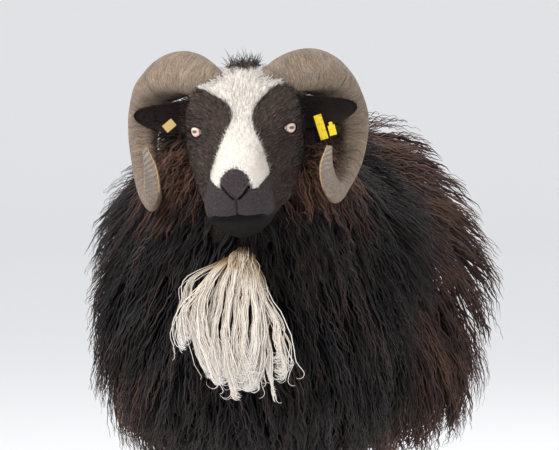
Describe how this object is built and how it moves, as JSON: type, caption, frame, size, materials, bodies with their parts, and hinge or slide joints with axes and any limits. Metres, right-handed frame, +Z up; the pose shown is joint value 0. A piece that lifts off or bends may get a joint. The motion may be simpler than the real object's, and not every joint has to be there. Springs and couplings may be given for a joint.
{
  "type": "balwen welsh mountain ram",
  "caption": "Life-size standing black horned ram with a white blaze, white throat tuft and long wavy fleece.",
  "frame": {"origin": "middle of the bounding box, on the floor under the hooves", "axes": "the ram faces -Y, its left side is +X, and +Z is up"},
  "size_m": [0.5694, 1.1452, 0.7798],
  "materials": {
    "wool": "matte, long wavy fleece",
    "face_hair": "matte, short flat hair with a white blaze",
    "leg_hair": "matte, short white hair",
    "tuft_wool": "matte, long soft locks",
    "horn": "satin, ridged horn",
    "hoof_horn": "satin, worn horn",
    "eye": "wet gloss",
    "tag_plastic": "satin, moulded"
  },
  "bodies": {
    "root": {"head": "face_hair", "ear_left": "face_hair", "ear_right": "face_hair", "neck": "wool", "torso": "wool", "tail": "wool", "throat_tuft": "tuft_wool", "eye_left": "eye", "horn_left": "horn", "foreleg_left": "leg_hair", "hindleg_left": "leg_hair", "hoof_fore_left_inner": "hoof_horn", "hoof_fore_left_outer": "hoof_horn", "hoof_hind_left_inner": "hoof_horn", "hoof_hind_left_outer": "hoof_horn", "eye_right": "eye", "horn_right": "horn", "foreleg_right": "leg_hair", "hindleg_right": "leg_hair", "hoof_fore_right_inner": "hoof_horn", "hoof_fore_right_outer": "hoof_horn", "hoof_hind_right_inner": "hoof_horn", "hoof_hind_right_outer": "hoof_horn", "ear_tag_left_bar": "tag_plastic", "ear_tag_left_button": "tag_plastic", "ear_tag_right": "tag_plastic"}
  },
  "joints": []
}
